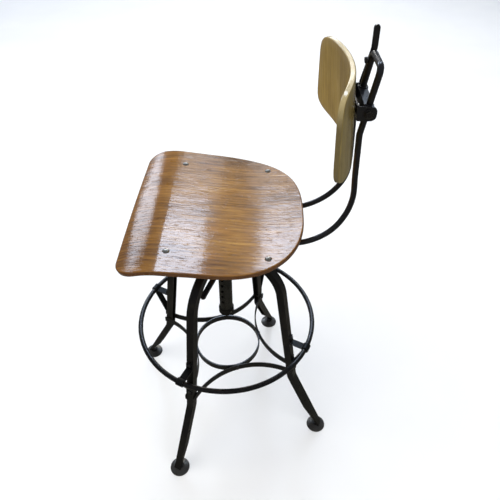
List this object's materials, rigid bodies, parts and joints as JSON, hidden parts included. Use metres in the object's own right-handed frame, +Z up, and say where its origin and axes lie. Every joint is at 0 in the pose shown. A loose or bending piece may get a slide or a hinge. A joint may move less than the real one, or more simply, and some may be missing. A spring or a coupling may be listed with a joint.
{
  "type": "drafting chair",
  "caption": "Tall drafting chair with a bent ply seat, a curved ply backrest on a bent rod bow, and a steel base with a foot ring",
  "frame": {"origin": "on the floor, on the axis of the post", "axes": "+Z up, -Y the sitter's front, +X the sitter's left"},
  "size_m": [0.5758, 0.579, 1.0731],
  "materials": {
    "dark_steel": "satin lacquer over dark steel, thin at the edges",
    "worn_steel": "dark patina, rubbed brighter on edges",
    "bright_steel": "dull plated steel",
    "bronze": "machined",
    "seat_ply": "brown stained veneer, gloss varnish",
    "back_ply": "tan veneer, gloss varnish"
  },
  "bodies": {
    "base": {"front_left_leg": "dark_steel", "rear_left_leg": "dark_steel", "rear_right_leg": "dark_steel", "front_right_leg": "dark_steel", "hub_casting": "dark_steel", "leg_bolts": "worn_steel", "foot_ring": "worn_steel", "front_left_ring_bracket": "worn_steel", "rear_left_ring_bracket": "worn_steel", "rear_right_ring_bracket": "worn_steel", "front_right_ring_bracket": "worn_steel", "bracket_rivets": "worn_steel", "centre_ring": "worn_steel", "front_stretcher": "dark_steel", "left_stretcher": "dark_steel", "rear_stretcher": "dark_steel", "right_stretcher": "dark_steel", "stretcher_rivets": "worn_steel", "front_left_glide": "worn_steel", "rear_left_glide": "worn_steel", "rear_right_glide": "worn_steel", "front_right_glide": "worn_steel", "glide_studs": "worn_steel", "latch_pin": "worn_steel"},
    "post": {"seat_post": "worn_steel", "stop_collar": "dark_steel", "collar_screw": "bright_steel", "swivel_pin": "bright_steel", "thrust_washer": "bronze", "swivel_nut": "worn_steel"},
    "latch": {"latch_lever": "dark_steel", "latch_spring": "bright_steel"},
    "seat": {"seat_panel": "seat_ply", "seat_hub": "dark_steel", "left_side_rail": "dark_steel", "right_side_rail": "dark_steel", "front_rail": "dark_steel", "rear_rail": "dark_steel", "front_bow_guide": "dark_steel", "rear_bow_guide": "dark_steel", "guide_spacers": "worn_steel", "seat_bolts": "bright_steel", "seat_nuts": "worn_steel", "frame_bolts": "worn_steel", "bow_set_screws": "worn_steel"},
    "bow": {"back_bow": "dark_steel", "bow_stop_screw": "worn_steel"},
    "carriage": {"rod_carriage": "dark_steel", "pivot_studs": "worn_steel", "tilt_nut": "worn_steel", "lever_cap": "worn_steel"},
    "backrest": {"backrest_panel": "back_ply", "back_bracket": "dark_steel", "bracket_bolts": "bright_steel"},
    "clamp_lever": {"tilt_lever": "dark_steel"}
  },
  "joints": [
    {"name": "seat_height", "type": "slide", "parent": "base", "child": "post", "axis": [0, 0, 1], "range_m": [-0.02, 0.12]},
    {"name": "latch_lift", "type": "hinge", "parent": "base", "child": "latch", "pos_m": [0.02619, -0.01246, 0.553], "axis": [-0.4297, -0.903, 0], "range_deg": [0, 14], "stiffness_Nm_per_rad": 0.6, "springref_deg": -11.46},
    {"name": "seat_swivel", "type": "hinge", "parent": "post", "child": "seat", "pos_m": [0, 0, 0.66], "axis": [0, 0, 1], "continuous": true},
    {"name": "bow_depth", "type": "slide", "parent": "seat", "child": "bow", "axis": [0, 1, 0], "range_m": [-0.02, 0.025]},
    {"name": "back_height", "type": "slide", "parent": "bow", "child": "carriage", "axis": [0, 0.1426, 0.9898], "range_m": [-0.027, 0.018]},
    {"name": "back_tilt", "type": "hinge", "parent": "carriage", "child": "backrest", "pos_m": [0, 0.27077, 0.9555], "axis": [1, 0, 0], "range_deg": [-20, 0]},
    {"name": "clamp_turn", "type": "hinge", "parent": "carriage", "child": "clamp_lever", "pos_m": [-0.0547, 0.27077, 0.9555], "axis": [1, 0, 0], "range_deg": [-70, 0]}
  ]
}
